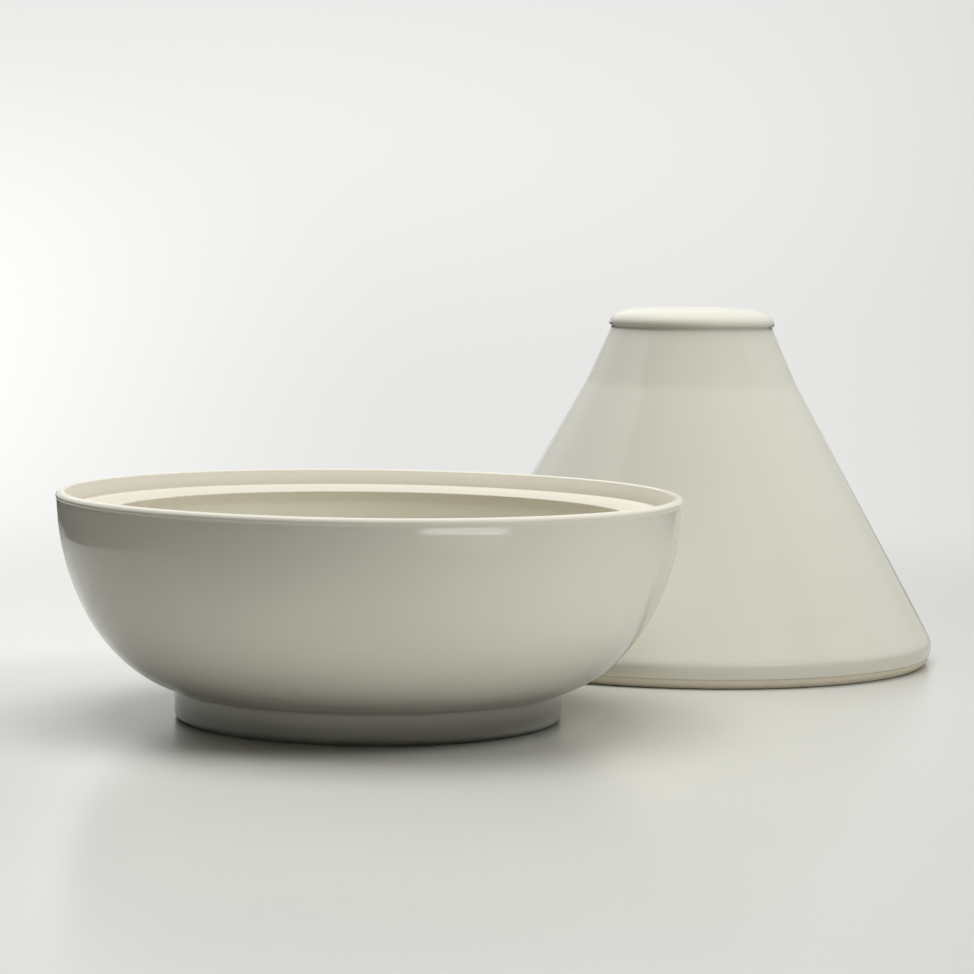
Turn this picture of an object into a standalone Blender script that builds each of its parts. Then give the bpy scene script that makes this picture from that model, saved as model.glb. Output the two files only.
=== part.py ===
"""A stoneware tagine: a round cooking bowl on a foot ring, with its conical lid set down beside it.

Units are metres and +Z is up. Both pieces stand on the plane Z = 0, the bowl at -X and the lid at +X.
Both are thrown on a wheel, so each one is a single section turned about its own vertical axis. The lid's
standing edge takes its radius from the seat inside the bowl's rim, where it rests in use.
"""
import math

import bmesh
import bpy

# The bowl's outside
RIM_RADIUS = 0.1400
BOWL_HEIGHT = 0.1015
LIP_RADIUS = 0.0025
WALL_TAPER = 0.0022
WALL_DROP = 0.0410
BELLY_REACH = 0.0310
BELLY_RISE = 0.0096

# The gallery that the lid sits in: a steep wall, a flat seat and the seat's rounded nose
GALLERY_SLOPE = 0.0030
SEAT_DEPTH = 0.0070
SEAT_WIDTH = 0.0150
SEAT_NOSE = 0.0018

# The well inside the bowl
WELL_SWELL = 0.0120
WELL_DROP = 0.0480
FLOOR_THICKNESS = 0.0085

# The turned foot
FOOT_RADIUS = 0.0870
FOOT_HEIGHT = 0.0140
FOOT_WIDTH = 0.0100
FOOT_EDGE = 0.0030
FOOT_FILLET = 0.0012
FOOT_RECESS = 0.0055

# The lid's standing edge
SEAT_CLEARANCE = 0.0095
STANDING_WIDTH = 0.0060
EDGE_OVERHANG = 0.0050
EDGE_HEIGHT = 0.0110
EDGE_SOFTNESS = 0.0045

# The lid's cone and the neck that carries the knob
LID_HEIGHT = 0.1820
NECK_LENGTH = 0.0325
NECK_RADIUS = 0.0415
NECK_SPREAD = 0.0148
NECK_FLARE = 0.0040

# The knob: a rolled bead with a shallow dish on top
KNOB_HEIGHT = 0.0095
KNOB_OVERHANG = 0.0015
KNOB_UNDERCUT = 0.0035
KNOB_ROLL = 0.0165
DISH_RIM = 0.0045
DISH_DEPTH = 0.0030

# The lid's hollow
LID_WALL = 0.0065
CROWN_THICKNESS = 0.0100
CROWN_RISE = 0.0150

# The gap between the bowl's rim and the lid's edge where the lid is set down
SET_DOWN_GAP = 0.0045

# How finely the curves are cut
TURN_STEPS = 64
LONG_CURVE_STEPS = 12
MEDIUM_CURVE_STEPS = 6
SHORT_CURVE_STEPS = 3
SHARP_EDGE_DEGREES = 38

SEAT_RADIUS = RIM_RADIUS - 2 * LIP_RADIUS - GALLERY_SLOPE
STANDING_RADIUS = SEAT_RADIUS - SEAT_CLEARANCE
LID_RADIUS = STANDING_RADIUS + EDGE_OVERHANG
KNOB_RADIUS = NECK_RADIUS + KNOB_OVERHANG
AXIS_DISTANCE = RIM_RADIUS + SET_DOWN_GAP + LID_RADIUS
BOWL_X = (RIM_RADIUS - LID_RADIUS - AXIS_DISTANCE) / 2
LID_X = BOWL_X + AXIS_DISTANCE


def arc(centre, radii, start, end, steps=SHORT_CURVE_STEPS):
    """Points of an elliptical arc between two angles in degrees, where 0 points out from the axis."""
    points = []
    for step in range(steps + 1):
        angle = math.radians(start + (end - start) * step / steps)
        points.append((centre[0] + radii[0] * math.cos(angle), centre[1] + radii[1] * math.sin(angle)))
    return points


def curve(start, start_handle, end_handle, end, steps=LONG_CURVE_STEPS):
    """Points of a cubic Bezier curve, with both of its ends."""
    points = []
    for step in range(steps + 1):
        t = step / steps
        weights = ((1 - t) ** 3, 3 * (1 - t) ** 2 * t, 3 * (1 - t) * t ** 2, t ** 3)
        controls = (start, start_handle, end_handle, end)
        points.append(tuple(sum(w * c[axis] for w, c in zip(weights, controls)) for axis in (0, 1)))
    return points


def ceramic(name, colour, roughness):
    """A glazed clay body: not metallic, and as glossy as its roughness says."""
    material = bpy.data.materials.new(name)
    material.use_nodes = True
    shader = material.node_tree.nodes["Principled BSDF"]
    shader.inputs["Base Color"].default_value = (*colour, 1)
    shader.inputs["Roughness"].default_value = roughness
    shader.inputs["Metallic"].default_value = 0
    material.diffuse_color = (*colour, 1)
    return material


def turned_piece(name, section, x, material):
    """Turns a section into a closed solid about the vertical axis at x, which is also its origin.

    The section is a list of (radius, height) points that starts and ends on the axis.
    """
    shape = bmesh.new()
    corners = [shape.verts.new((radius, 0, height)) for radius, height in section]
    for first, second in zip(corners, corners[1:]):
        shape.edges.new((first, second))
    bmesh.ops.spin(shape, geom=shape.verts[:] + shape.edges[:], cent=(0, 0, 0), axis=(0, 0, 1),
                   angle=math.tau, steps=TURN_STEPS)
    bmesh.ops.remove_doubles(shape, verts=shape.verts, dist=0.00001)
    bmesh.ops.recalc_face_normals(shape, faces=shape.faces)

    mesh = bpy.data.meshes.new(name)
    shape.to_mesh(mesh)
    shape.free()
    mesh.materials.append(material)
    mesh.shade_smooth()
    mesh.set_sharp_from_angle(angle=math.radians(SHARP_EDGE_DEGREES))
    piece = bpy.data.objects.new(name, mesh)
    piece.location.x = x
    bpy.context.collection.objects.link(piece)
    return piece


def bowl_section():
    """From the middle of the floor, up the well, over the seat and the lip, and down to the foot."""
    floor_height = FOOT_RECESS + FLOOR_THICKNESS
    seat_height = BOWL_HEIGHT - SEAT_DEPTH
    mouth = (SEAT_RADIUS - SEAT_WIDTH - SEAT_NOSE, seat_height - SEAT_NOSE)
    lip_centre = (RIM_RADIUS - LIP_RADIUS, BOWL_HEIGHT - LIP_RADIUS)
    foot_join = (FOOT_RADIUS + FOOT_FILLET, FOOT_HEIGHT)
    foot_inner_radius = FOOT_RADIUS - FOOT_WIDTH

    well = curve((0, floor_height), (mouth[0], floor_height),
                 (mouth[0] + WELL_SWELL, mouth[1] - WELL_DROP), mouth)
    nose = arc((mouth[0] + SEAT_NOSE, mouth[1]), (SEAT_NOSE, SEAT_NOSE), 180, 90)
    seat = [(SEAT_RADIUS, seat_height)]
    lip = arc(lip_centre, (LIP_RADIUS, LIP_RADIUS), 180, 0, MEDIUM_CURVE_STEPS)
    wall = curve(lip[-1], (lip[-1][0] - WALL_TAPER, lip[-1][1] - WALL_DROP),
                 (foot_join[0] + BELLY_REACH, foot_join[1] + BELLY_RISE), foot_join)
    fillet = arc((foot_join[0], FOOT_HEIGHT - FOOT_FILLET), (FOOT_FILLET, FOOT_FILLET), 90, 180)
    outer_edge = arc((FOOT_RADIUS - FOOT_EDGE, FOOT_EDGE), (FOOT_EDGE, FOOT_EDGE), 0, -90)
    inner_edge = arc((foot_inner_radius + FOOT_EDGE, FOOT_EDGE), (FOOT_EDGE, FOOT_EDGE), -90, -180)
    recess = [(foot_inner_radius, FOOT_RECESS), (0, FOOT_RECESS)]
    return well + nose + seat + lip + wall + fillet + outer_edge + inner_edge + recess


def lid_section():
    """From the middle of the knob's dish, over the knob, down the cone, round the edge and up inside."""
    knob_foot = LID_HEIGHT - KNOB_HEIGHT
    neck_foot = knob_foot - NECK_LENGTH
    cone_top_radius = NECK_RADIUS + NECK_SPREAD
    corner = (LID_RADIUS, EDGE_HEIGHT + EDGE_SOFTNESS)
    slope = (LID_RADIUS - cone_top_radius) / (neck_foot - corner[1])
    wall_across = LID_WALL * math.hypot(1, slope)

    def on_cone(height, inward=0):
        return cone_top_radius + slope * (neck_foot - height) - inward, height

    dish_floor = LID_HEIGHT - DISH_DEPTH
    crest_radius = KNOB_RADIUS - KNOB_ROLL
    dish_radius = crest_radius - DISH_RIM
    dish = curve((0, dish_floor), (dish_radius, dish_floor), (dish_radius, LID_HEIGHT),
                 (crest_radius, LID_HEIGHT), MEDIUM_CURVE_STEPS)
    bead_height = knob_foot + KNOB_UNDERCUT
    bead = arc((crest_radius, bead_height), (KNOB_ROLL, LID_HEIGHT - bead_height), 90, 0, MEDIUM_CURVE_STEPS)
    undercut = arc((NECK_RADIUS, bead_height), (KNOB_OVERHANG, KNOB_UNDERCUT), 0, -90)
    flare = on_cone(neck_foot + NECK_FLARE)
    neck = curve((NECK_RADIUS, knob_foot), flare, flare, on_cone(neck_foot), MEDIUM_CURVE_STEPS)
    shoulder = curve(on_cone(corner[1] + EDGE_SOFTNESS), corner, corner, (LID_RADIUS, EDGE_HEIGHT),
                     MEDIUM_CURVE_STEPS)
    edge = arc((STANDING_RADIUS, EDGE_HEIGHT), (EDGE_OVERHANG, EDGE_HEIGHT), 0, -90, MEDIUM_CURVE_STEPS)
    outside = dish + bead + undercut + neck + shoulder + edge

    standing_inner = STANDING_RADIUS - STANDING_WIDTH
    rise = curve((standing_inner, 0), (standing_inner, EDGE_HEIGHT), (standing_inner, EDGE_HEIGHT),
                 on_cone(EDGE_HEIGHT + STANDING_WIDTH, wall_across), SHORT_CURVE_STEPS)
    crown_foot = on_cone(dish_floor - CROWN_THICKNESS - CROWN_RISE, wall_across)
    crown = arc((0, crown_foot[1]), (crown_foot[0], CROWN_RISE), 0, 90, MEDIUM_CURVE_STEPS)
    return outside + rise + crown


for leftover in list(bpy.data.objects):
    bpy.data.objects.remove(leftover)

turned_piece("bowl", bowl_section(), BOWL_X, ceramic("bowl glaze", (0.56, 0.55, 0.49), 0.22))
turned_piece("lid", lid_section(), LID_X, ceramic("lid glaze", (0.62, 0.61, 0.54), 0.28))
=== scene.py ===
"""The looks of a thrown stoneware tagine: its cooking bowl, and its conical lid set down beside it."""
import math

import bpy
import numpy as np
from mathutils import Matrix, Vector


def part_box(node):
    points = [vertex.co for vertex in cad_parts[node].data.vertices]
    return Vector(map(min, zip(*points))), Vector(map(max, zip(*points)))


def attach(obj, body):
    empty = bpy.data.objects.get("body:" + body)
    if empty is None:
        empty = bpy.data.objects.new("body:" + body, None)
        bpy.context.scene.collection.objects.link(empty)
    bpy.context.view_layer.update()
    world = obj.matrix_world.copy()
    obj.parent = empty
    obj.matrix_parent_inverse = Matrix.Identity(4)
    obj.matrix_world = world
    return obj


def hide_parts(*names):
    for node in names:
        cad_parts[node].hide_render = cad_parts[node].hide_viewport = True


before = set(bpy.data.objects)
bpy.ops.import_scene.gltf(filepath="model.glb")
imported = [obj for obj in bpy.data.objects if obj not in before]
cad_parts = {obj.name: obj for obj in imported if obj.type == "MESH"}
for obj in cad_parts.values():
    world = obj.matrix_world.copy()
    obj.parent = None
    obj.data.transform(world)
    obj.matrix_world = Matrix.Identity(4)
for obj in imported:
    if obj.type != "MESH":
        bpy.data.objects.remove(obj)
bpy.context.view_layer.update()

# The bowl
# One thrown piece of pale stoneware with a trimmed foot. It is dipped in a glossy, faintly grey-green
# glaze, and the gallery that carries the lid and the ring that stands on the table are wiped bare.
bowl_low, bowl_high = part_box("bowl")
BOWL_X = (bowl_low.x + bowl_high.x) / 2
RIM_RADIUS = (bowl_high.x - bowl_low.x) / 2
RIM_HEIGHT = bowl_high.z
LIP_RADIUS = 0.0025
GALLERY_SLOPE = 0.0030
SEAT_DEPTH = 0.0070
SEAT_WIDTH = 0.0150
SEAT_NOSE = 0.0018
SEAT_FALL = 0.0020
SEAT_EDGE = 0.0006
FLOOR_HEIGHT = 0.0140
FOOT_RADIUS = 0.0870
FOOT_HEIGHT = 0.0140
FOOT_WIDTH = 0.0100
FOOT_EDGE = 0.0030
FOOT_FILLET = 0.0012
FOOT_RECESS = 0.0055
LIP_UNDERCUT = 0.00035
LIP_UNDERCUT_TOP = 0.0008
LIP_UNDERCUT_DEEPEST = 0.0012
LIP_UNDERCUT_END = 0.0220
LIP_START_ANGLE = 143
WELL_PULL = (0.0120, 0.0480)
WALL_PULL = (0.0022, 0.0410)
FOOT_PULL = (0.0310, 0.0096)
SEAT_PULL = (0.0046, 0.0016)
SEAT_FLAT = 0.0065
CREVICE_PULL = (0.0006, 0.0019)
GALLERY_PULL = (0.0013, 0.0018)
BARE_FROM = 0.0075
BARE_WHOLLY = 0.0035
RING_PITCH = 0.0060
RING_HEIGHT = 0.000012
WELL_RING_HEIGHT = 0.00003
WANDER = 0.00010
BOWL_SEED = 1.3
GLAZE_DEPTH = 0.00025
AROUND = 256


def arc(centre, radii, start, end, steps):
    """Points centre + radii * (cos a, sin a), for a from start to end in equal steps; a is in degrees."""
    angle = np.radians(np.linspace(start, end, steps + 1))
    return np.stack([centre[0] + radii[0] * np.cos(angle), centre[1] + radii[1] * np.sin(angle)], 1)


def curve(start, start_handle, end_handle, end, steps, crowding=1.0):
    """A cubic Bezier curve: each control point weighed by its own share of (1 - t + t) cubed. The steps
    of t are even, or with a crowding above 1 they are even in t to the power of 1 / crowding, so that
    points crowd at the start."""
    t = np.linspace(0, 1, steps + 1)[:, None] ** crowding
    a, b, c, d = (np.array(p, float) for p in (start, start_handle, end_handle, end))
    return (1 - t) ** 3 * a + 3 * (1 - t) ** 2 * t * b + 3 * (1 - t) * t ** 2 * c + t ** 3 * d


def line(start, end, steps):
    """Points that divide the straight line from start to end into equal steps."""
    return np.linspace(np.array(start, float), np.array(end, float), steps + 1)


def joined(runs):
    """One section from runs that meet end to end, with each shared point kept once."""
    return np.concatenate([runs[0]] + [run[1:] for run in runs[1:]])


def start_of(wanted, runs):
    """The number of the section's point at which the wanted run starts: the steps of all runs before it."""
    steps = 0
    for run in runs:
        if run is wanted:
            return steps
        steps += len(run) - 1


def ramp(value, start, end):
    """0 before start and 1 after end, along 3t^2 - 2t^3 between them."""
    t = np.clip((value - start) / (end - start), 0, 1)
    return t * t * (3 - 2 * t)


def bend_of(section, run):
    """How sharply the section bends outwards at each point, in radians a metre, smoothed over 1.5 mm."""
    along = np.gradient(section, run, axis=0)
    heading = np.unwrap(np.arctan2(along[:, 1], along[:, 0]))
    bend = -np.gradient(heading, run)
    even = np.arange(0, run[-1], 0.0003)
    kernel = np.hanning(9)
    smooth = np.convolve(np.interp(even, run, bend), kernel / kernel.sum(), "same")
    return np.interp(run, even, smooth)


def turned_piece(name, section, x, body, glazed, ring_height, ring_pitch, wander, seed):
    """A thrown piece as one closed surface.

    Point (i, j) of the surface is section point i turned by the angle 2 pi j / AROUND about the vertical
    axis at x. It is then moved inwards along the section's own normal: by the throwing rings, which are
    ring_height times (1 - sine of (2 pi s / ring_pitch + the angle)), a spiral in the distance s along
    the section, and by the glaze's thickness where the piece is bare. The radius wanders by up to twice
    wander, always inwards, with two and three waves round the piece.
    """
    run = np.concatenate([[0], np.cumsum(np.linalg.norm(np.diff(section, axis=0), axis=1))])
    along = np.gradient(section, run, axis=0)
    along /= np.linalg.norm(along, axis=1)[:, None]
    out = np.stack([-along[:, 1], along[:, 0]], 1)
    a = np.arange(AROUND)[None, :] * math.tau / AROUND
    s = run[:, None]

    drift = 0.55 * np.sin(2 * a + seed) + 0.45 * np.sin(3 * a + 2.1 * seed)
    uneven_pitch = 0.35 * np.sin(31 * s + seed)
    uneven_turn = 0.8 * np.sin(a + 9 * s / run[-1])
    spiral = math.tau * (s / ring_pitch + uneven_pitch) + a + uneven_turn
    rings = 0.75 * np.sin(spiral) + 0.25 * np.sin(1.7 * spiral + seed)
    lift = ring_height[:, None] * (rings - 1) - GLAZE_DEPTH * (1 - glazed[:, None])
    off_axis = ramp(section[:, 0], 0, 0.03)[:, None]
    off_table = ramp(section[:, 1], 0, 0.0015)[:, None]
    radius = section[:, :1] + (out[:, :1] * lift - wander * (1.05 + drift)) * off_axis
    height = section[:, 1:] + out[:, 1:] * lift * off_axis * off_table
    grid = np.stack([x + radius * np.cos(a), radius * np.sin(a), height + 0 * a], -1)

    rows = len(section) - 2
    points = np.concatenate([grid[:1, 0], grid[1:-1].reshape(-1, 3), grid[-1:, 0]])
    i, j = np.meshgrid(np.arange(rows - 1), np.arange(AROUND), indexing="ij")
    here, beside = 1 + i * AROUND + j, 1 + i * AROUND + (j + 1) % AROUND
    quads = np.stack([here, here + AROUND, beside + AROUND, beside], -1).reshape(-1, 4)
    j = np.arange(AROUND)
    last = 1 + (rows - 1) * AROUND
    first_fan = np.stack([np.zeros_like(j), 1 + j, 1 + (j + 1) % AROUND], -1)
    last_fan = np.stack([last + j, np.full_like(j, len(points) - 1), last + (j + 1) % AROUND], -1)
    mesh = bpy.data.meshes.new(name)
    mesh.from_pydata(points.tolist(), [], first_fan.tolist() + quads.tolist() + last_fan.tolist())
    mesh.shade_smooth()

    def store(attribute, values):
        layer = mesh.attributes.new(attribute, "FLOAT", "POINT")
        flat = np.concatenate([values[:1], np.repeat(values[1:-1], AROUND), values[-1:]])
        layer.data.foreach_set("value", flat.astype(np.float32))

    store("glazed", glazed)
    store("edge", np.clip(bend_of(section, run) / 400, 0, 1))
    store("run", run)
    piece = bpy.data.objects.new(name, mesh)
    bpy.context.scene.collection.objects.link(piece)
    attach(piece, body)
    return piece


seat_radius = RIM_RADIUS - 2 * LIP_RADIUS - GALLERY_SLOPE
seat_height = RIM_HEIGHT - SEAT_DEPTH
mouth = (seat_radius - SEAT_WIDTH - SEAT_NOSE, seat_height - SEAT_FALL - SEAT_EDGE)
lip = (RIM_RADIUS - LIP_RADIUS, RIM_HEIGHT - LIP_RADIUS)
foot_join = (FOOT_RADIUS + FOOT_FILLET, FOOT_HEIGHT)
foot_inner = FOOT_RADIUS - FOOT_WIDTH
well_handle = (mouth[0] + WELL_PULL[0], mouth[1] - WELL_PULL[1])
well = curve((0, FLOOR_HEIGHT), (mouth[0], FLOOR_HEIGHT), well_handle, mouth, 110)
nose = arc((mouth[0] + SEAT_EDGE, mouth[1]), (SEAT_EDGE, SEAT_EDGE), 180, 110, 6)
crevice = (seat_radius, seat_height)
seat = curve(nose[-1], nose[-1] + SEAT_PULL, (seat_radius - SEAT_FLAT, seat_height), crevice, 16)
lip_round = arc(lip, (LIP_RADIUS, LIP_RADIUS), LIP_START_ANGLE, 0, 22)
gallery_handle = (seat_radius + CREVICE_PULL[0], seat_height + CREVICE_PULL[1])
gallery = curve(crevice, gallery_handle, lip_round[0] - GALLERY_PULL, lip_round[0], 18)
wall_handle = (RIM_RADIUS - WALL_PULL[0], lip[1] - WALL_PULL[1])
foot_handle = (foot_join[0] + FOOT_PULL[0], foot_join[1] + FOOT_PULL[1])
wall = curve((RIM_RADIUS, lip[1]), wall_handle, foot_handle, foot_join, 130, 1.6)
for run in (lip_round, wall):
    # The lip overhangs a little: the wall starts inside it and comes back out gently, 20 mm further down.
    height = run[:, 1]
    deepest = lip[1] - LIP_UNDERCUT_DEEPEST
    cut_in = ramp(height, lip[1] + LIP_UNDERCUT_TOP, deepest)
    come_out = ramp(height, deepest, lip[1] - LIP_UNDERCUT_END)
    run[:, 0] -= LIP_UNDERCUT * (cut_in - come_out) * (run[:, 0] > lip[0])
fillet = arc((foot_join[0], FOOT_HEIGHT - FOOT_FILLET), (FOOT_FILLET, FOOT_FILLET), 90, 180, 8)
foot_side = line((FOOT_RADIUS, FOOT_HEIGHT - FOOT_FILLET), (FOOT_RADIUS, FOOT_EDGE), 14)
foot_outer_edge = arc((FOOT_RADIUS - FOOT_EDGE, FOOT_EDGE), (FOOT_EDGE, FOOT_EDGE), 0, -90, 10)
foot_ring = line((FOOT_RADIUS - FOOT_EDGE, 0), (foot_inner + FOOT_EDGE, 0), 4)
foot_inner_edge = arc((foot_inner + FOOT_EDGE, FOOT_EDGE), (FOOT_EDGE, FOOT_EDGE), -90, -180, 8)
recess_side = line((foot_inner, FOOT_EDGE), (foot_inner, FOOT_RECESS), 3)
recess = line((foot_inner, FOOT_RECESS), (0, FOOT_RECESS), 24)
bowl_runs = [well, nose, seat, gallery, lip_round, wall, fillet, foot_side, foot_outer_edge, foot_ring,
             foot_inner_edge, recess_side, recess]
bowl_section = joined(bowl_runs)
order = np.arange(len(bowl_section))
nose_start = start_of(nose, bowl_runs)
lip_start = start_of(lip_round, bowl_runs)
foot_edge_start = start_of(foot_outer_edge, bowl_runs)
bare_under_mouth = ramp(bowl_section[:, 1], mouth[1] - BARE_FROM, mouth[1] - BARE_WHOLLY)
bare_gallery = ((bare_under_mouth * (order < nose_start + 1) + (order > nose_start))
                * (1 - ramp(order, lip_start, lip_start + 4)))
bare_foot = ramp(order, foot_edge_start + 4, foot_edge_start + 8)
bowl_glazed = 1 - np.maximum(bare_gallery, bare_foot)
bowl_rings = RING_HEIGHT + WELL_RING_HEIGHT * (1 - ramp(order, nose_start - 30, nose_start - 10))
bowl = turned_piece("bowl_thrown", bowl_section, BOWL_X, "bowl", bowl_glazed, bowl_rings, RING_PITCH,
                    WANDER, BOWL_SEED)
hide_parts("bowl")

# Lit and shaded copies of the lid's glaze and clay: the glaze here is painted lighter than the lid's, as
# painted light, and the bare clay darker, as painted shade on the gallery and the foot ring.
BOWL_GLAZE = (0.775, 0.759, 0.656)
BOWL_THIN_GLAZE = (0.798, 0.764, 0.654)
BOWL_CLAY = (0.735, 0.689, 0.584)
BOWL_ROUGHNESS = 0.12
CLAY_ROUGHNESS = 0.85
SPECK_BROWN = (0.20, 0.16, 0.11)
GLAZE_END_BROWN = (0.33, 0.25, 0.16)
GLAZE_IOR = 1.5
CLOUDS = 13
SHEEN_CLOUDS = 34
SPECK_CELLS = 48
SPECKED_CELLS = 0.86
SKIN_RIPPLE = 150
SAND_GRAIN = 1500
TURNING_LINES = 1100.0
LINE_BREAKS = 9.0


def fired_finish(name, glaze, thin_glaze, clay, roughness, brown_line):
    """Glaze over clay: the piece's own attributes say where it is glazed, where an edge thins it, and
    how far along the section a point lies, which draws the fine lines that the turning leaves. Where the
    glaze ends it may fire to a fine brown line, as strong as brown_line."""
    material = bpy.data.materials.new(name)
    material.use_nodes = True
    tree = material.node_tree
    shader = tree.nodes["Principled BSDF"]

    def node(kind, **settings):
        made = tree.nodes.new(kind)
        for key, value in settings.items():
            setattr(made, key, value)
        return made

    def feed(socket, value):
        if isinstance(value, (tuple, float, int)):
            socket.default_value = value
        else:
            tree.links.new(value, socket)

    def mix(share, first, second):
        made = node("ShaderNodeMix", data_type="RGBA")
        for socket, value in ((0, share), (6, first), (7, second)):
            feed(made.inputs[socket], value)
        return made.outputs[2]

    def maths(operation, first, second):
        made = node("ShaderNodeMath", operation=operation)
        feed(made.inputs[0], first)
        feed(made.inputs[1], second)
        return made.outputs[0]

    def noise(scale, detail=3.0, at=None):
        made = node("ShaderNodeTexNoise")
        made.inputs["Scale"].default_value = scale
        made.inputs["Detail"].default_value = detail
        tree.links.new(at or place.outputs["Object"], made.inputs["Vector"])
        return made.outputs["Fac"]

    def steps(value, low, high, to_low=0.0, to_high=1.0):
        made = node("ShaderNodeMapRange")
        for socket, number in ((1, low), (2, high), (3, to_low), (4, to_high)):
            made.inputs[socket].default_value = number
        tree.links.new(value, made.inputs[0])
        return made.outputs[0]

    place = node("ShaderNodeTexCoord")
    glazed = node("ShaderNodeAttribute", attribute_name="glazed").outputs["Fac"]
    edge = node("ShaderNodeAttribute", attribute_name="edge").outputs["Fac"]
    run = node("ShaderNodeAttribute", attribute_name="run").outputs["Fac"]

    split = node("ShaderNodeSeparateXYZ")
    tree.links.new(place.outputs["Object"], split.inputs[0])
    turned = node("ShaderNodeCombineXYZ")
    feed(turned.inputs[0], maths("MULTIPLY", run, TURNING_LINES))
    feed(turned.inputs[1], maths("MULTIPLY", split.outputs[0], LINE_BREAKS))
    feed(turned.inputs[2], maths("MULTIPLY", split.outputs[1], LINE_BREAKS))
    turning_lines = noise(1.0, 2, turned.outputs[0])

    cloud = steps(noise(CLOUDS, 4), 0.35, 0.65, 0.0, 0.22)
    mottled = mix(cloud, (*glaze, 1), (*thin_glaze, 1))
    broken = mix(steps(edge, 0.1, 1.0, 0.0, 0.6), mottled, (*thin_glaze, 1))
    cells = node("ShaderNodeTexVoronoi")
    cells.inputs["Scale"].default_value = SPECK_CELLS
    tree.links.new(place.outputs["Object"], cells.inputs["Vector"])
    chosen = node("ShaderNodeSeparateColor")
    tree.links.new(cells.outputs["Color"], chosen.inputs[0])
    rare = maths("GREATER_THAN", chosen.outputs[0], SPECKED_CELLS)
    dot = maths("MULTIPLY", steps(cells.outputs["Distance"], 0.016, 0.042, 0.75, 0.0), rare)
    specked = mix(dot, broken, (*SPECK_BROWN, 1))
    darker_clay = tuple(c * 0.90 for c in clay) + (1,)
    sand = mix(steps(noise(SAND_GRAIN, 2), 0.38, 0.68), (*clay, 1), darker_clay)
    tooled = mix(steps(turning_lines, 0.3, 0.75, 0.0, 0.5), sand, darker_clay)
    glaze_end = maths("MULTIPLY", maths("PINGPONG", glazed, 0.5), 2.0 * brown_line)
    surface = mix(glazed, tooled, specked)
    tree.links.new(mix(glaze_end, surface, (*GLAZE_END_BROWN, 1)), shader.inputs["Base Color"])
    sheen_of_glaze = steps(noise(SHEEN_CLOUDS, 3), 0.3, 0.7, roughness * 0.85, roughness * 1.25)
    rough = node("ShaderNodeMix", data_type="FLOAT")
    feed(rough.inputs[0], glazed)
    feed(rough.inputs[2], CLAY_ROUGHNESS)
    feed(rough.inputs[3], sheen_of_glaze)
    tree.links.new(rough.outputs[0], shader.inputs["Roughness"])
    shader.inputs["IOR"].default_value = GLAZE_IOR

    skin = node("ShaderNodeBump")
    skin.inputs["Strength"].default_value = 0.10
    skin.inputs["Distance"].default_value = 0.0004
    tree.links.new(noise(SKIN_RIPPLE, 2), skin.inputs["Height"])
    grain = node("ShaderNodeBump")
    grain.inputs["Distance"].default_value = 0.00012
    feed(grain.inputs["Strength"], steps(glazed, 0, 1, 0.5, 0.0))
    tree.links.new(maths("ADD", noise(SAND_GRAIN, 2), turning_lines), grain.inputs["Height"])
    tree.links.new(skin.outputs["Normal"], grain.inputs["Normal"])
    tree.links.new(grain.outputs["Normal"], shader.inputs["Normal"])
    return material


bowl.data.materials.append(fired_finish("bowl_glaze_over_clay", BOWL_GLAZE, BOWL_THIN_GLAZE, BOWL_CLAY,
                                        BOWL_ROUGHNESS, brown_line=0.0))

# The lid
# One thrown and trimmed cone of the same clay, closed under a rolled knob with a shallow dish on top.
# The same glaze is painted a little darker here than on the bowl and the same clay a little lighter, as
# painted shade and light, and the glaze stops just above the bare edge that seats in the bowl.
lid_low, lid_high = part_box("lid")
LID_X = (lid_low.x + lid_high.x) / 2
LID_RADIUS = (lid_high.x - lid_low.x) / 2
LID_HEIGHT = lid_high.z
EDGE_OVERHANG = 0.0050
EDGE_HEIGHT = 0.0090
EDGE_SOFTNESS = 0.0030
EDGE_BLEND = 0.0070
STANDING_WIDTH = 0.0060
NECK_LENGTH = 0.0325
NECK_RADIUS = 0.0415
NECK_SPREAD = 0.0148
NECK_FLARE = 0.0040
KNOB_HEIGHT = 0.0095
KNOB_OVERHANG = 0.0015
KNOB_UNDERCUT = 0.0014
KNOB_ROLL = 0.0165
DISH_RIM = 0.0045
DISH_DEPTH = 0.0030
LID_WALL = 0.0065
CROWN_THICKNESS = 0.0100
CROWN_RISE = 0.0150
GLAZE_STOPS_FROM = 6
GLAZE_STOPS_BY = 7.5
LID_RING_PITCH = 0.0057
LID_RING_HEIGHT = 0.000013
HOLLOW_RING_HEIGHT = 0.00008
LID_SEED = 0.4
LID_GLAZE = (0.732, 0.717, 0.620)
LID_THIN_GLAZE = (0.756, 0.727, 0.625)
LID_CLAY = (0.800, 0.738, 0.610)
LID_ROUGHNESS = 0.13
LID_BROWN_LINE = 0.7

knob_foot = LID_HEIGHT - KNOB_HEIGHT
neck_foot = knob_foot - NECK_LENGTH
cone_top_radius = NECK_RADIUS + NECK_SPREAD
corner = (LID_RADIUS, EDGE_HEIGHT + EDGE_SOFTNESS)
slope = (LID_RADIUS - cone_top_radius) / (neck_foot - corner[1])
wall_across = LID_WALL * math.hypot(1, slope)
standing_radius = LID_RADIUS - EDGE_OVERHANG


def on_cone(height, inward=0.0):
    """The point of the straight cone at a height: its radius grows by slope for each unit downwards."""
    return cone_top_radius + slope * (neck_foot - height) - inward, height


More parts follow.
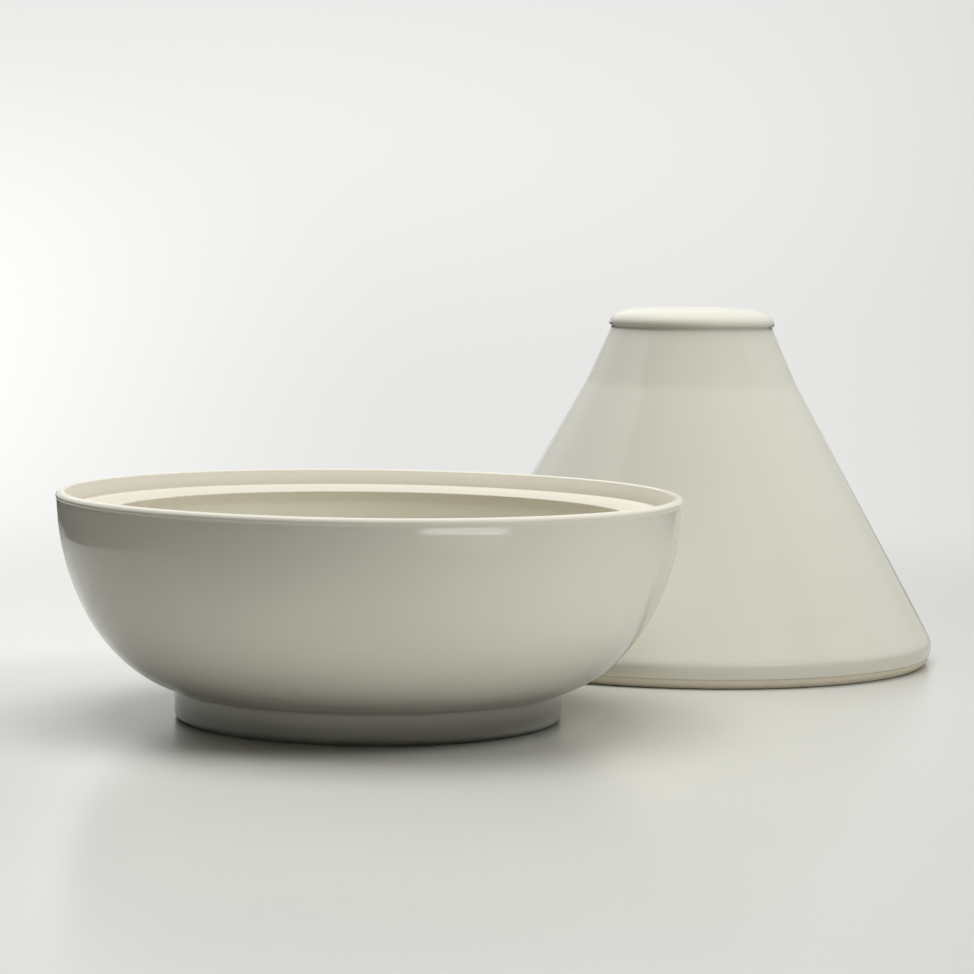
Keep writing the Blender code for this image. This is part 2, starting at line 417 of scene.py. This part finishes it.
dish_floor = LID_HEIGHT - DISH_DEPTH
knob_radius = NECK_RADIUS + KNOB_OVERHANG
crest_radius = knob_radius - KNOB_ROLL
dish_radius = crest_radius - DISH_RIM
bead_height = knob_foot + KNOB_UNDERCUT
flare = on_cone(neck_foot + NECK_FLARE)
crest = (crest_radius, LID_HEIGHT)
dish = curve((0, dish_floor), (dish_radius, dish_floor), (dish_radius, LID_HEIGHT), crest, 36)
bead = arc((crest_radius, bead_height), (KNOB_ROLL, LID_HEIGHT - bead_height), 90, 0, 26)
undercut = arc((NECK_RADIUS, bead_height), (KNOB_OVERHANG, KNOB_UNDERCUT), 0, -90, 10)
neck = curve((NECK_RADIUS, knob_foot), flare, flare, on_cone(neck_foot), 40)
cone_end = on_cone(corner[1] + EDGE_BLEND)
cone = line(on_cone(neck_foot), cone_end, 150)
shoulder = curve(cone_end, corner, corner, (LID_RADIUS, EDGE_HEIGHT), 16)
edge = arc((standing_radius, EDGE_HEIGHT), (EDGE_OVERHANG, EDGE_HEIGHT), 0, -90, 22)
standing_inner = standing_radius - STANDING_WIDTH
standing = line((standing_radius, 0), (standing_inner, 0), 5)
rise_end = on_cone(EDGE_HEIGHT + STANDING_WIDTH, wall_across)
rise_handle = (standing_inner, EDGE_HEIGHT)
rise = curve((standing_inner, 0), rise_handle, rise_handle, rise_end, 12)
crown_foot = on_cone(dish_floor - CROWN_THICKNESS - CROWN_RISE, wall_across)
hollow = line(rise_end, crown_foot, 46)
crown = arc((0, crown_foot[1]), (crown_foot[0], CROWN_RISE), 0, 90, 14)
lid_runs = [dish, bead, undercut, neck, cone, shoulder, edge, standing, rise, hollow, crown]
lid_section = joined(lid_runs)
order = np.arange(len(lid_section))
neck_start = start_of(neck, lid_runs)
cone_start = start_of(cone, lid_runs)
edge_start = start_of(edge, lid_runs)
hollow_start = start_of(hollow, lid_runs)
bare_edge = (ramp(order, edge_start + GLAZE_STOPS_FROM, edge_start + GLAZE_STOPS_BY)
             * (1 - ramp(order, hollow_start - 4, hollow_start - 1)))
lid_glazed = 1 - bare_edge
on_wall = ramp(order, neck_start + 8, cone_start) * (1 - ramp(order, edge_start - 16, edge_start - 6))
lower_wall = ramp(order, cone_start + 70, cone_start + 125)
lid_rings = (LID_RING_HEIGHT * on_wall * (0.7 + 0.8 * lower_wall)
             + HOLLOW_RING_HEIGHT * ramp(order, hollow_start, hollow_start + 6))
lid = turned_piece("lid_thrown", lid_section, LID_X, "lid", lid_glazed, lid_rings, LID_RING_PITCH, WANDER,
                   LID_SEED)
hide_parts("lid")
lid.data.materials.append(fired_finish("lid_glaze_over_clay", LID_GLAZE, LID_THIN_GLAZE, LID_CLAY,
                                       LID_ROUGHNESS, LID_BROWN_LINE))

# The camera
# It looks past the bowl to the lid, 208 mm above the table and 1.34 m from the bowl's axis.
PHOTO_WIDTH = 974
FOCAL_PIXELS = 3000
SIGHT_ANGLE = math.radians(-52.5)
CAMERA_DISTANCE = 1.3406
CAMERA_HEIGHT = 0.2079
TURN_RIGHT = 0.03878
TILT_DOWN = 0.07732
ROLL = 0.01529
camera_data = bpy.data.cameras.new("camera")
camera_data.sensor_width = 36
camera_data.lens = FOCAL_PIXELS / PHOTO_WIDTH * camera_data.sensor_width
camera = bpy.data.objects.new("camera", camera_data)
bpy.context.scene.collection.objects.link(camera)
sight = Vector((-math.sin(SIGHT_ANGLE), math.cos(SIGHT_ANGLE), 0))
turn = (Matrix.Rotation(SIGHT_ANGLE - TURN_RIGHT, 4, "Z") @ Matrix.Rotation(math.pi / 2 - TILT_DOWN, 4, "X")
        @ Matrix.Rotation(ROLL, 4, "Z"))
camera_place = Vector((BOWL_X, 0, CAMERA_HEIGHT)) - sight * CAMERA_DISTANCE
camera.matrix_world = Matrix.Translation(camera_place) @ turn
bpy.context.scene.camera = camera

# The table
# A pale, slightly glossy table top that fades into the background, so that no edge of it shows. Its colour
# is painted with light and shade: lighter at the left, darker at the right, at the near left and in front.
# The light that it throws back has its own painted colours: strong at the right front and close to the
# lid's edge, weak at the left, further round the lid and by the bowl's foot, which paints shade onto the
# foot and the lid's lower wall.
TABLE_RADIUS = 1.6
FADE_START = 0.28
FADE_END = 1.00
LEFT_EDGE = -0.48
SHADE_FROM = -0.18
SHADE_TO = 0.35
TABLE_PAINTED_LIGHT_LEFT = (0.725, 0.728, 0.690, 1)
TABLE_PAINTED_SHADE_RIGHT = (0.485, 0.490, 0.461, 1)
TABLE_PAINTED_SHADE_NEAR_LEFT = (0.500, 0.503, 0.482, 1)
TABLE_PAINTED_SHADE_NEAR = (0.490, 0.493, 0.472, 1)
TABLE_ROUGHNESS = 0.22
SHADE_RIGHT = 0.98
SHADE_NEAR = 0.22
NEAR_LEFT_ACROSS = (-0.225, -0.145)
NEAR_LEFT_AWAY = (-0.20, 0.14)
NEAR_AWAY = (-0.75, -0.42)
BOUNCE_TOWARDS_RIGHT = 0.77
BOUNCE_TOWARDS_NEAR = 0.64
BOUNCE_FROM = -0.30
BOUNCE_TO = 0.34
BOUNCE_LEFT = (0.27, 0.27, 0.26, 1)
BOUNCE_RIGHT = (1.10, 1.10, 1.05, 1)
BOUNCE_BY_BOWL = (0.03, 0.03, 0.028, 1)
BOUNCE_BY_LID = (0.30, 0.30, 0.28, 1)
BOUNCE_BY_LID_EDGE = (0.72, 0.71, 0.66, 1)
BY_BOWL = (0.100, 0.155)
BY_LID = (0.200, 0.320)
BY_LID_EDGE = (0.145, 0.175)
TABLE_SIDES = 96
right_of_sight = (math.cos(SIGHT_ANGLE), math.sin(SIGHT_ANGLE), 0)
table_mesh = bpy.data.meshes.new("table_top")
rim = np.arange(TABLE_SIDES) * math.tau / TABLE_SIDES
table_points = np.stack([TABLE_RADIUS * np.cos(rim), TABLE_RADIUS * np.sin(rim), 0 * rim], 1)
table_mesh.from_pydata(table_points.tolist(), [], [list(range(TABLE_SIDES))])
table = bpy.data.objects.new("table_top", table_mesh)
bpy.context.scene.collection.objects.link(table)


class Nodes:
    """A node tree with short calls for the nodes that the table and the room share."""

    def __init__(self, tree):
        self.tree = tree

    def feed(self, socket, value):
        if isinstance(value, bpy.types.NodeSocket):
            self.tree.links.new(value, socket)
        else:
            socket.default_value = value

    def vector(self, operation, first, second=(0, 0, 0)):
        made = self.tree.nodes.new("ShaderNodeVectorMath")
        made.operation = operation
        self.feed(made.inputs[0], first)
        self.feed(made.inputs[1], second)
        return made.outputs["Value" if operation in ("LENGTH", "DISTANCE", "DOT_PRODUCT") else "Vector"]

    def maths(self, operation, first, second):
        made = self.tree.nodes.new("ShaderNodeMath")
        made.operation = operation
        made.use_clamp = operation == "SUBTRACT"
        self.feed(made.inputs[0], first)
        self.feed(made.inputs[1], second)
        return made.outputs[0]

    def steps(self, value, low, high, to_low=0.0, to_high=1.0):
        made = self.tree.nodes.new("ShaderNodeMapRange")
        made.interpolation_type = "SMOOTHSTEP"
        for socket, number in zip(made.inputs, (value, low, high, to_low, to_high)):
            self.feed(socket, number)
        return made.outputs[0]

    def mix(self, share, first, second, blend="MIX"):
        made = self.tree.nodes.new("ShaderNodeMix")
        made.data_type = "RGBA"
        made.blend_type = blend
        for socket, value in ((0, share), (6, first), (7, second)):
            self.feed(made.inputs[socket], value)
        return made.outputs[2]


def table_finish():
    """Pale laminate: a diffuse surface with a soft gloss, see-through past the fade, whose colour carries
    painted light and shade, with another painted colour for the light it throws back. Glossy surfaces see
    it end at its left edge, which draws a line across the bowl's glaze."""
    material = bpy.data.materials.new("pale_laminate")
    material.use_nodes = True
    made = Nodes(material.node_tree)
    shader = material.node_tree.nodes["Principled BSDF"]
    path = material.node_tree.nodes.new("ShaderNodeLightPath")
    place = material.node_tree.nodes.new("ShaderNodeTexCoord").outputs["Object"]
    sideways = made.vector("DOT_PRODUCT", place, right_of_sight)
    shade_line = Vector(right_of_sight) * SHADE_RIGHT - sight * SHADE_NEAR
    shade_along = made.vector("DOT_PRODUCT", place, tuple(shade_line))
    # The colour that the camera sees is painted light and shade: lighter at the left, darker at the right,
    # and darker again at the near left and in front.
    seen = made.mix(made.steps(shade_along, SHADE_FROM, SHADE_TO), TABLE_PAINTED_LIGHT_LEFT, TABLE_PAINTED_SHADE_RIGHT)
    away = made.vector("DOT_PRODUCT", place, tuple(sight))
    past_left = made.steps(sideways, *NEAR_LEFT_ACROSS)
    past_near = made.steps(away, *NEAR_LEFT_AWAY)
    seen = made.mix(made.maths("MAXIMUM", past_left, past_near), TABLE_PAINTED_SHADE_NEAR_LEFT, seen)
    seen = made.mix(made.steps(away, *NEAR_AWAY), TABLE_PAINTED_SHADE_NEAR, seen)
    bounce_line = Vector(right_of_sight) * BOUNCE_TOWARDS_RIGHT - sight * BOUNCE_TOWARDS_NEAR
    frontwards = made.vector("DOT_PRODUCT", place, tuple(bounce_line))
    # The colour that diffuse rays see is painted light and shade too: more light thrown back at the right
    # front and by the lid's edge, and less at the left, round the lid and by the bowl's foot.
    bounce = made.mix(made.steps(frontwards, BOUNCE_FROM, BOUNCE_TO), BOUNCE_LEFT, BOUNCE_RIGHT)
    from_bowl = made.vector("DISTANCE", place, (BOWL_X, 0, 0))
    from_lid = made.vector("DISTANCE", place, (LID_X, 0, 0))
    bounce = made.mix(made.steps(from_lid, *BY_LID), BOUNCE_BY_LID, bounce)
    bounce = made.mix(made.steps(from_lid, *BY_LID_EDGE), BOUNCE_BY_LID_EDGE, bounce)
    bounce = made.mix(made.steps(from_bowl, *BY_BOWL), BOUNCE_BY_BOWL, bounce)
    made.feed(shader.inputs["Base Color"], made.mix(path.outputs["Is Diffuse Ray"], seen, bounce))
    shader.inputs["Roughness"].default_value = TABLE_ROUGHNESS
    fade = made.steps(made.vector("LENGTH", place), FADE_START, FADE_END, 1.0, 0.0)
    past_edge = made.maths("LESS_THAN", sideways, LEFT_EDGE)
    missing = made.maths("MULTIPLY", past_edge, path.outputs["Is Glossy Ray"])
    made.feed(shader.inputs["Alpha"], made.maths("SUBTRACT", fade, missing))
    return material


table_mesh.materials.append(table_finish())

# The room
# A pale paper backdrop all round, painted with light: a soft glow low on the left and a wide faint one
# above, and painted shade towards the right. Glossy surfaces show it too, but above a low height they see
# two screens and, on the camera's side, a dark room.
# It lights no matt surface, which is the lamps' work alone.
PAPER = (0.797, 0.797, 0.783, 1)
PAPER_PAINTED_SHADE_RIGHT = (0.615, 0.625, 0.560, 1)
FALL_FROM = 0.07
FALL_TO = 0.34
LOW_GLOW = (0.26, 0.26, 0.265, 1)
LOW_GLOW_AT = (-0.251, 0.035)
LOW_GLOW_SIZE = (0.233, 0.134)
HIGH_GLOW = (0.080, 0.080, 0.076, 1)
HIGH_GLOW_AT = (-0.095, 0.114)
HIGH_GLOW_SIZE = (0.320, 0.093)
DARK_ROOM = (0.30, 0.30, 0.29, 1)
DARK_FLOOR = (0.08, 0.08, 0.075, 1)
LEFT_SCREEN = (1.35, 1.35, 1.32, 1)
RIGHT_SCREEN = (0.85, 0.85, 0.84, 1)
SCREENS_MEET = (-0.2, 0.2)
DARK_BEHIND = (0.19, 0.225)
SCREENS_ABOVE = (0.12, 0.35)
FLOOR_BELOW = (-0.02, -0.01)


def room():
    """The world: a colour for each direction, worked out from the angle to a few named directions."""
    world = bpy.data.worlds.new("studio")
    bpy.context.scene.world = world
    world.use_nodes = True
    tree = world.node_tree
    made = Nodes(tree)
    direction = tree.nodes.new("ShaderNodeTexCoord").outputs["Generated"]
    ahead = turn.to_3x3()
    view_right = ahead @ Vector((1, 0, 0))
    view_up = ahead @ Vector((0, 1, 0))

    sideways = made.vector("DOT_PRODUCT", direction, tuple(view_right))
    # Painted shade on the paper towards the right; the glows that follow are painted light.
    paper = made.mix(made.steps(sideways, FALL_FROM, FALL_TO), PAPER, PAPER_PAINTED_SHADE_RIGHT)
    glows = ((LOW_GLOW, LOW_GLOW_AT, LOW_GLOW_SIZE), (HIGH_GLOW, HIGH_GLOW_AT, HIGH_GLOW_SIZE))
    for colour, at, size in glows:
        centre = (ahead @ Vector((at[0], at[1], -1))).normalized()
        off_centre = made.vector("SUBTRACT", direction, tuple(centre))
        spread = tree.nodes.new("ShaderNodeCombineXYZ")
        made.feed(spread.inputs[0], made.vector("DOT_PRODUCT", off_centre, tuple(view_right / size[0])))
        made.feed(spread.inputs[1], made.vector("DOT_PRODUCT", off_centre, tuple(view_up / size[1])))
        glow = made.steps(made.vector("LENGTH", spread.outputs[0]), 0.0, 1.0, 1.0, 0.0)
        paper = made.mix(glow, paper, colour, "ADD")
    across = made.vector("DOT_PRODUCT", direction, right_of_sight)
    screens = made.mix(made.steps(across, *SCREENS_MEET), LEFT_SCREEN, RIGHT_SCREEN)
    behind = made.vector("DOT_PRODUCT", direction, tuple(-sight))
    upwards = made.mix(made.steps(behind, *DARK_BEHIND), screens, DARK_ROOM)
    height = made.vector("DOT_PRODUCT", direction, (0, 0, 1))
    above = made.mix(made.steps(height, *SCREENS_ABOVE), paper, upwards)
    reflected = made.mix(made.steps(height, *FLOOR_BELOW), DARK_FLOOR, above)

    path = tree.nodes.new("ShaderNodeLightPath")
    seen = tree.nodes["Background"]
    made.feed(seen.inputs["Color"], made.mix(path.outputs["Is Camera Ray"], reflected, paper))
    sharp = made.maths("MAXIMUM", path.outputs["Is Glossy Ray"], path.outputs["Is Transmission Ray"])
    made.feed(seen.inputs["Strength"], made.maths("MAXIMUM", path.outputs["Is Camera Ray"], sharp))


room()

# The lamps
# Softboxes round the table, each a rectangle that faces the middle of the pair. The window's bar and the
# low glint, which falls on the bowl alone and draws the streak under its lip, are there to be mirrored.


def softbox(name, azimuth, elevation, distance, size, power, mirrored=False, aim=(0, 0, 0)):
    """A lamp aimed at a point; azimuth is counted anticlockwise from the line of sight. A mirrored
    one shows only as a reflection in glossy surfaces, and the others only light matt ones."""
    data = bpy.data.lights.new(name, "AREA")
    data.shape = "RECTANGLE"
    data.size, data.size_y = size
    data.energy = power
    lamp = bpy.data.objects.new(name, data)
    bpy.context.scene.collection.objects.link(lamp)
    heading = SIGHT_ANGLE + math.radians(azimuth)
    level = math.cos(math.radians(elevation))
    height = math.sin(math.radians(elevation))
    towards = Vector((-math.sin(heading) * level, math.cos(heading) * level, height))
    lamp.location = Vector(aim) + towards * distance
    lamp.rotation_euler = towards.to_track_quat("Z", "Y").to_euler()
    lamp.visible_camera = False
    lamp.visible_glossy = mirrored
    lamp.visible_diffuse = not mirrored
    return lamp


softbox("softbox_overhead", 0, 86, 4.4, (3.0, 3.0), 152.0)
softbox("softbox_overhead_front", 180, 72, 1.5, (1.2, 0.8), 2.2)
softbox("softbox_overhead_left", 75, 65, 1.5, (1.0, 1.0), 5.0)
softbox("softbox_front_right", -124, 48, 1.3, (0.6, 0.4), 5.4)
softbox("window_bar", -146, 25, 1.5, (0.8, 0.12), 1.1, mirrored=True)
GLINT_RIGHT = 0.042
GLINT_BELOW = 0.004
near_lip = Vector((BOWL_X, 0, 0)) - sight * RIM_RADIUS
under_lip = Vector((0, 0, RIM_HEIGHT - GLINT_BELOW))
lip_right = near_lip + Vector(right_of_sight) * GLINT_RIGHT + under_lip
table_edge_glint = softbox("table_edge_glint", -146, -12.6, 0.38, (0.26, 0.004), 0.075, mirrored=True,
                           aim=lip_right)
glint_falls_on = bpy.data.collections.new("glint_falls_on")
glint_falls_on.objects.link(bowl)
table_edge_glint.light_linking.receiver_collection = glint_falls_on

bpy.context.scene.view_settings.view_transform = "Standard"
